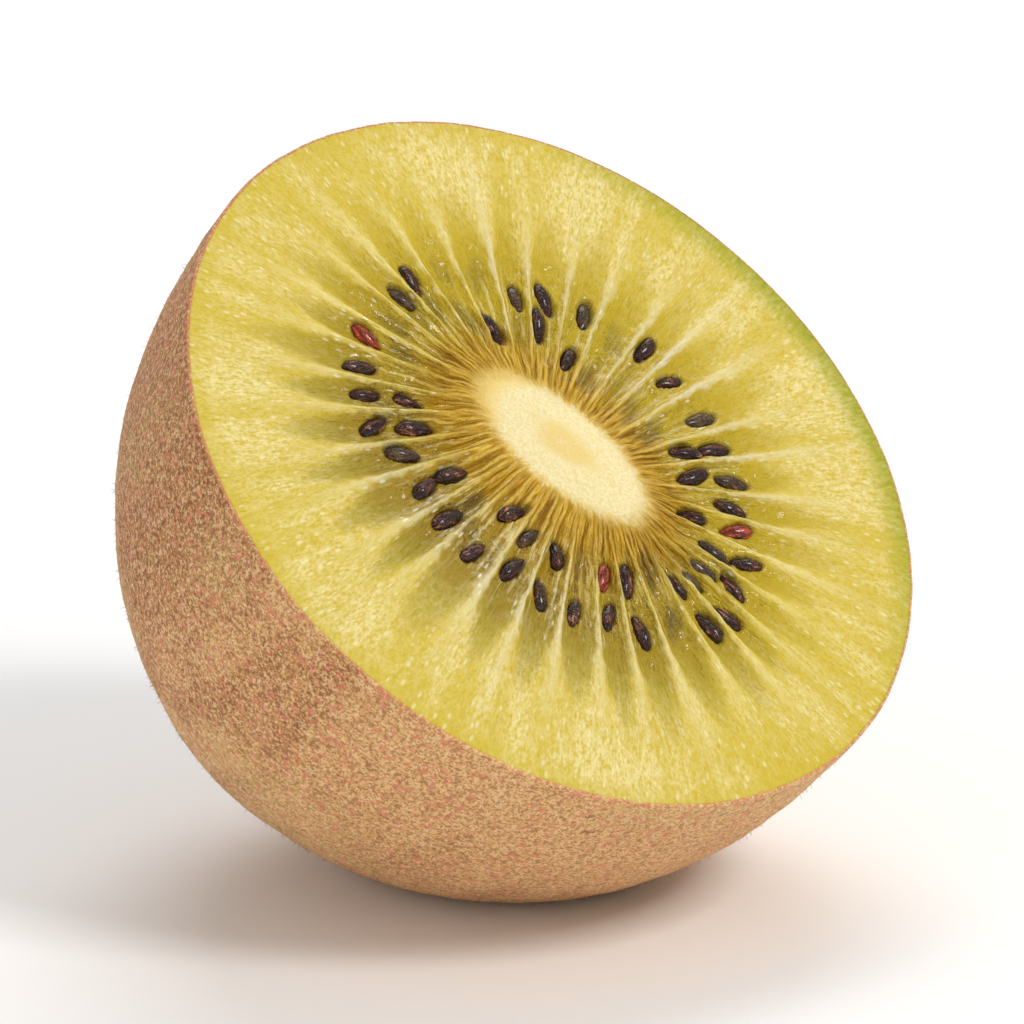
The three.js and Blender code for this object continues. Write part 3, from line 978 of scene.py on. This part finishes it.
def make_flesh(fruit):
    """The cut face with its relief, closed below by a smooth body that fills the skin."""
    segments = fruit.chambers * CHAMBER_STEPS
    core = np.linspace(-1, 0, CORE_ROWS + 1)[:-1]
    face = np.linspace(0, 1, FACE_ROWS + 1)
    under = np.linspace(1, 2, UNDER_ROWS + 1)[1:]
    shares = np.concatenate([core, face, under])
    rows = len(shares) - 1
    flesh, row, segment = add_wrap("flesh", segments, rows)
    share = shares[row]
    chamber = crowd_to_walls(segment / CHAMBER_STEPS)
    turn = fruit.turn_at(chamber)

    core_x, core_y, core_z = fruit.core_point(turn, np.clip(share + 1, 0, 1))
    inset = 1 - fruit.skin_thickness * 0.9 / fruit.short_radius
    face_x, face_y = fruit.spoke_point(turn, np.clip(share, 0, 1))
    stray = fruit.edge_wave(turn)
    outer_scale = 1 + (stray + inset - 1) * smoothstep(share, 0.7, 1.0) * (1 - smoothstep(share, 1.0, 1.3))
    face_x, face_y = face_x * outer_scale, face_y * outer_scale
    under_share = np.clip(share - 1, 0, 1)
    under_x, under_y, under_z = fruit.skin_point(turn, under_share)
    in_core, below = share < 0, share > 1
    under_scale = 0.985 + (outer_scale - 0.985) * (1 - smoothstep(share, 1.0, 1.15))
    x = np.where(in_core, core_x, np.where(below, under_x * under_scale, face_x))
    y = np.where(in_core, core_y, np.where(below, under_y * under_scale, face_y))
    z = np.where(in_core, core_z, np.where(below, under_z * 0.98, 0))

    on_face = ~in_core & ~below
    relief, shade = face_relief(fruit, chamber[on_face], share[on_face], x[on_face], y[on_face])
    z[on_face] += relief
    flat = on_plane(x, y)
    z[in_core] += 0.03 * cloud(flat[in_core], 0.5) + 0.12 * cloud(flat[in_core], 9.0)
    shades = np.zeros_like(x)
    shades[on_face] = shade

    set_points(flesh.data, np.stack([x, y, z], axis=1))
    set_values(flesh.data, "seed_shade", shades)
    set_wrap_uv(flesh, "chambers", lambda i: crowd_to_walls(i / CHAMBER_STEPS), shares, segments, rows)
    close_wrap(flesh)
    return flesh


def make_seed(fruit, seed, tone):
    """One drop-shaped seed with a lumpy coat, pointing its narrow end at the core."""
    deselect_all()
    bpy.ops.mesh.primitive_uv_sphere_add(segments=22, ring_count=14, radius=1)
    bead = bpy.context.object
    mesh = bead.data
    points = points_of(mesh)[:, [1, 2, 0]]
    along = points[:, 1]
    taper = (1 + 0.2 * along) * np.where(along < 0, 1 - 0.25 * along**2, 1)
    points[:, 0] *= taper
    points[:, 2] *= taper
    points *= np.array([fruit.seed_width, fruit.seed_length, fruit.seed_height]) * seed.scale / 2
    points *= (1 + 0.09 * cloud(points + 11 * seed.heading, 0.5))[:, None]
    sunk = fruit.seed_proud - fruit.seed_height / 2
    set_points(mesh, points)
    tip_up = Matrix.Rotation((seed.tone - 0.5) * 0.5, 4, "X")
    turned = Matrix.Rotation(seed.heading - math.pi / 2, 4, "Z") @ tip_up
    mesh.transform(Matrix.Translation((seed.x, seed.y, seed.z + sunk)) @ turned)
    set_values(mesh, "seed_tone", np.full(len(points), tone))
    return bead


def make_skin(fruit):
    """A thin closed shell: the outside with its nub, the cut edge and the inner wall."""
    segments = fruit.chambers * CHAMBER_STEPS
    inner = np.linspace(-2, -1, INNER_ROWS + 1)
    rim = np.linspace(-1, 0, RIM_ROWS + 1)[1:-1]
    outer = np.linspace(0, 1, SKIN_ROWS + 1)
    shares = np.concatenate([inner, rim, outer])
    rows = len(shares) - 1
    skin, row, segment = add_wrap("skin", segments, rows)
    share = shares[row]
    turn = 2 * np.pi * segment / segments

    out_x, out_y, out_z = fruit.skin_point(turn, np.clip(share, 0, 1))
    in_x, in_y, in_z = fruit.skin_point(turn, np.clip(-1 - share, 0, 1))
    shrink = 1 - fruit.skin_thickness / fruit.short_radius
    across_rim = np.clip(share + 1, 0, 1)
    on_rim, inside = (share > -1) & (share < 0), share <= -1
    edge = fruit.skin_thickness * 0.6
    outward = 1 - fruit.skin_thickness * (1 - across_rim) / fruit.short_radius
    round_over = np.clip((across_rim - 0.4) / 0.6, 0, 1)
    rim_x, rim_y = fruit.long_radius * np.cos(turn) * outward, fruit.short_radius * np.sin(turn) * outward
    rim_z = edge * (np.sqrt(1 - round_over**2) - 1)
    x = np.where(on_rim, rim_x, np.where(inside, in_x * shrink, out_x))
    y = np.where(on_rim, rim_y, np.where(inside, in_y * shrink, out_y))
    z = np.where(on_rim, rim_z, np.where(inside, in_z * 0.99, out_z - edge))
    stray = fruit.edge_wave(turn) * np.exp(-np.maximum(np.abs(share + 0.5) - 0.5, 0) * 12)
    places = np.stack([x * (1 + stray), y * (1 + stray), z], axis=1)
    ragged = np.exp(-np.abs(share) * 60) * (share > -1)
    places[:, 2] += 0.05 * cloud(places, 1.2) * ragged
    set_points(skin.data, places)

    radial = np.hypot(x, y)
    lumps = 0.05 * cloud(places, 2.2) + 0.03 * cloud(places, 0.7) + 0.12 * cloud(places, 9.0)
    lumps *= smoothstep(share, 0.0, 0.03)
    near_nub = smoothstep(share, 0.6, 0.7)
    wrinkled = np.exp(-(((radial - WRINKLE_RADIUS) / WRINKLE_WIDTH) ** 2))
    wrinkles = WRINKLE_HEIGHT * np.sin(WRINKLES * turn + 4 * cloud(places, 3.0)) * wrinkled
    hollow = HOLLOW_DEPTH * np.exp(-((radial / HOLLOW_RADIUS) ** 2))
    depths = np.where(share > 0, lumps + near_nub * (wrinkles + hollow), 0)
    # Until close_wrap() turns them outward, the wrapped grid's normals face inward
    inward = normals_of(skin.data)
    set_points(skin.data, places + inward * depths[:, None])
    set_wrap_uv(skin, "wrap", lambda i: i / CHAMBER_STEPS, shares, segments, rows)
    close_wrap(skin)
    return skin


def make_down(fruit):
    """Short hairs that lean along the skin, each a slim three-sided spike sunk into it."""
    rng = np.random.default_rng(HAIR_START)
    count = bpy.context.scene.kiwi_shape.hair_count
    turn = rng.random(count) * 2 * np.pi
    share = rng.random(count) ** 0.8 * 0.985 + 0.01
    step = 1e-3
    base = np.stack(fruit.skin_point(turn, share), axis=1)
    down = np.stack(fruit.skin_point(turn, np.minimum(share + step, 1)), axis=1) - base
    side = np.stack(fruit.skin_point(turn + step, share), axis=1) - base
    out = np.cross(side, down)
    for vectors in (down, side, out):
        vectors /= np.maximum(np.linalg.norm(vectors, axis=1), 1e-12)[:, None]
    out *= np.sign(np.sum(out * (base + [0, 0, fruit.depth / 2]), axis=1))[:, None]

    lean = rng.normal(1.05, 0.3, count)[:, None]
    swing = rng.normal(0, 0.8, count)[:, None]
    long = 1 + 0.6 * np.exp(-((np.hypot(base[:, 0], base[:, 1]) / 5) ** 2)) * (share > 0.6)
    length = (fruit.hair_length * rng.uniform(0.35, 1.0, count) ** 1.5 * long)[:, None]
    heading = down * np.cos(swing) + side * np.sin(swing)
    middle = base + length * 0.5 * (out * np.cos(lean * 0.6) + heading * np.sin(lean * 0.6))
    tip = middle + length * 0.5 * (out * np.cos(lean * 1.3) + heading * np.sin(lean * 1.3))
    thick = rng.uniform(0.012, 0.022, count)[:, None]
    points = []
    for corner in range(3):
        angle = corner * 2 * np.pi / 3
        around = side * np.cos(angle) + down * np.sin(angle)
        points.append(base - out * HAIR_SINK + around * thick)
        points.append(middle + around * thick * 0.8)
    points.append(tip)
    vertices = np.stack(points, axis=1)

    standing = np.array(fruit.laying.to_3x3())[2]
    heights = vertices @ standing + fruit.laying.translation.z
    vertices = vertices[heights.min(axis=1) > HAIR_CLEARANCE]
    faces = [(0, 4, 2)]
    for a, b in ((0, 2), (2, 4), (4, 0)):
        faces += [(a, b, b + 1), (a, b + 1, a + 1), (a + 1, b + 1, 6)]
    starts = np.arange(len(vertices)) * 7
    triangles = (starts[:, None, None] + np.array(faces)).reshape(-1, 3)
    mesh = bpy.data.meshes.new("down")
    mesh.from_pydata(vertices.reshape(-1, 3).tolist(), [], triangles.tolist())
    mesh.validate()
    down_piece = bpy.data.objects.new("down", mesh)
    bpy.context.collection.objects.link(down_piece)
    return down_piece


def make_strand(fruit, turn, length, curl, thickness):
    """One dried style: a tapering, bent strand from the middle of the nub."""
    deselect_all()
    bpy.ops.curve.primitive_bezier_curve_add()
    strand = bpy.context.object
    curve = strand.data
    curve.dimensions = "3D"
    curve.bevel_depth = thickness / 2
    curve.bevel_resolution = 3
    curve.resolution_u = 10
    curve.use_fill_caps = True
    spline = curve.splines[0]
    spline.bezier_points.add(1)
    tip = -fruit.depth - NUB_RISE
    reach = np.linspace(0, length, 3)
    for i, point in enumerate(spline.bezier_points):
        angle = turn + curl * i
        x, y = reach[i] * math.cos(angle), reach[i] * math.sin(angle)
        point.handle_left_type = point.handle_right_type = "AUTO"
        lift = NUB_RISE * (1 - math.exp(-((reach[i] / NUB_RADIUS) ** 2)))
        point.co = (x, y, tip + lift + STRAND_LIFTS[i])
        point.radius = STRAND_TAPER[i]
    bpy.ops.object.convert(target="MESH")
    return bpy.context.object


# Operators


class KIWI_OT_flesh(bpy.types.Operator):
    """Model the flesh with its core, chambers and seed beds"""

    bl_idname = "kiwi.flesh"
    bl_label = "Flesh"

    def execute(self, context):
        fruit = Fruit(context.scene.kiwi_shape)
        flesh = make_flesh(fruit)
        lay_down(flesh, fruit, flesh_material(fruit, context.scene.kiwi_colours))
        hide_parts(NODE)
        return {"FINISHED"}


class KIWI_OT_seeds(bpy.types.Operator):
    """Set the seeds into their beds"""

    bl_idname = "kiwi.seeds"
    bl_label = "Seeds"

    def execute(self, context):
        fruit = Fruit(context.scene.kiwi_shape)
        shown = [seed for seed in fruit.seeds if not seed.buried]
        beads = []
        for i, seed in enumerate(shown):
            tone = RED_TONE if i % RED_EVERY == RED_FIRST else seed.tone
            beads.append(make_seed(fruit, seed, tone))
        seeds = join_all(beads, "seeds")
        lay_down(seeds, fruit, seed_material(fruit, context.scene.kiwi_colours), press=False)
        return {"FINISHED"}


class KIWI_OT_skin(bpy.types.Operator):
    """Model the thin skin with its cut edge and nub"""

    bl_idname = "kiwi.skin"
    bl_label = "Skin"

    def execute(self, context):
        fruit = Fruit(context.scene.kiwi_shape)
        skin = make_skin(fruit)
        lay_down(skin, fruit, skin_material(fruit, context.scene.kiwi_colours))
        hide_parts(NODE)
        return {"FINISHED"}


class KIWI_OT_down(bpy.types.Operator):
    """Grow the fine down on the skin"""

    bl_idname = "kiwi.down"
    bl_label = "Down"

    def execute(self, context):
        fruit = Fruit(context.scene.kiwi_shape)
        down = make_down(fruit)
        lay_down(down, fruit, down_material(fruit, context.scene.kiwi_colours), press=False)
        return {"FINISHED"}


class KIWI_OT_remains(bpy.types.Operator):
    """Lay the flower's dried strands on the nub"""

    bl_idname = "kiwi.remains"
    bl_label = "Flower remains"

    def execute(self, context):
        fruit = Fruit(context.scene.kiwi_shape)
        draw = make_draw(STRAND_START)
        strands = []
        for i in range(STRAND_COUNT):
            turn = (i + draw() * 0.7) * 2 * math.pi / STRAND_COUNT
            length = lerp(1.2, 2.6, draw())
            curl = (draw() - 0.5) * 0.9
            strands.append(make_strand(fruit, turn, length, curl, lerp(0.45, 0.65, draw())))
        remains = join_all(strands, "flower_remains")
        colours = context.scene.kiwi_colours
        lay_down(remains, fruit, remains_material(fruit, colours), press=False)
        return {"FINISHED"}


def add_light(light, place, target):
    """A soft square lamp that faces the target."""
    deselect_all()
    bpy.ops.object.light_add(type="AREA", location=place)
    lamp = bpy.context.object
    lamp.name = light.name
    lamp.data.size = light.size
    lamp.data.energy = light.power
    lamp.data.color = light.colour
    lamp.rotation_euler = (target - place).to_track_quat("-Z", "Y").to_euler()


class KIWI_OT_stage(bpy.types.Operator):
    """Set up the floor, the lights and the camera"""

    bl_idname = "kiwi.stage"
    bl_label = "Stage"

    def execute(self, context):
        scene = context.scene
        stage = scene.kiwi_stage
        deselect_all()
        bpy.ops.mesh.primitive_plane_add(size=6)
        floor = context.object
        floor.name = "floor"
        floor.data.materials.append(floor_material(stage.floor_colour))

        face = Fruit(scene.kiwi_shape).laying.translation * MM
        level = Vector((math.sin(stage.azimuth), -math.cos(stage.azimuth), 0))
        toward = level * math.cos(stage.elevation) + Vector((0, 0, math.sin(stage.elevation)))
        right = Vector((math.cos(stage.azimuth), math.sin(stage.azimuth), 0))
        up = Vector((0, 0, 1))
        for light in LIGHTS:
            place = face + right * light.right + up * light.up + level * light.near
            add_light(light, place, face)

        world = bpy.data.worlds.new("studio")
        world.use_nodes = True
        background = world.node_tree.nodes["Background"]
        Nodes(world.node_tree).feed_all(background, {"Color": (1, 1, 1), "Strength": WORLD_STRENGTH})
        scene.world = world

        deselect_all()
        bpy.ops.object.camera_add(location=face + toward * stage.distance)
        camera = context.object
        camera.name = "camera"
        aim = face - right * AIM_LEFT * MM - toward.cross(right) * AIM_BELOW * MM
        camera.rotation_euler = (aim - camera.location).to_track_quat("-Z", "Y").to_euler()
        camera.data.lens = stage.lens
        scene.camera = camera
        scene.view_settings.view_transform = "Standard"
        return {"FINISHED"}


class KIWI_PT_panel(bpy.types.Panel):
    """The half's settings and the steps that build it"""

    bl_label = "Golden Kiwi Half"
    bl_idname = "KIWI_PT_panel"
    bl_space_type = "VIEW_3D"
    bl_region_type = "UI"
    bl_category = "Kiwi"

    def draw(self, context):
        layout = self.layout
        for group in (context.scene.kiwi_shape, context.scene.kiwi_colours, context.scene.kiwi_stage):
            box = layout.box()
            for name in group.bl_rna.properties.keys():
                if name not in ("rna_type", "name"):
                    box.prop(group, name)
        for step in STEPS:
            layout.operator(step.bl_idname)


STEPS = (KIWI_OT_flesh, KIWI_OT_seeds, KIWI_OT_skin, KIWI_OT_down, KIWI_OT_remains, KIWI_OT_stage)
CLASSES = (KiwiShape, KiwiColours, KiwiStage, *STEPS, KIWI_PT_panel)


def register():
    for cls in CLASSES:
        bpy.utils.register_class(cls)
    bpy.types.Scene.kiwi_shape = PointerProperty(type=KiwiShape)
    bpy.types.Scene.kiwi_colours = PointerProperty(type=KiwiColours)
    bpy.types.Scene.kiwi_stage = PointerProperty(type=KiwiStage)


def unregister():
    del bpy.types.Scene.kiwi_stage
    del bpy.types.Scene.kiwi_colours
    del bpy.types.Scene.kiwi_shape
    for cls in reversed(CLASSES):
        bpy.utils.unregister_class(cls)


def main():
    register()
    bpy.ops.kiwi.flesh()
    bpy.ops.kiwi.seeds()
    bpy.ops.kiwi.skin()
    bpy.ops.kiwi.down()
    bpy.ops.kiwi.remains()
    bpy.ops.kiwi.stage()


if __name__ == "__main__":
    main()
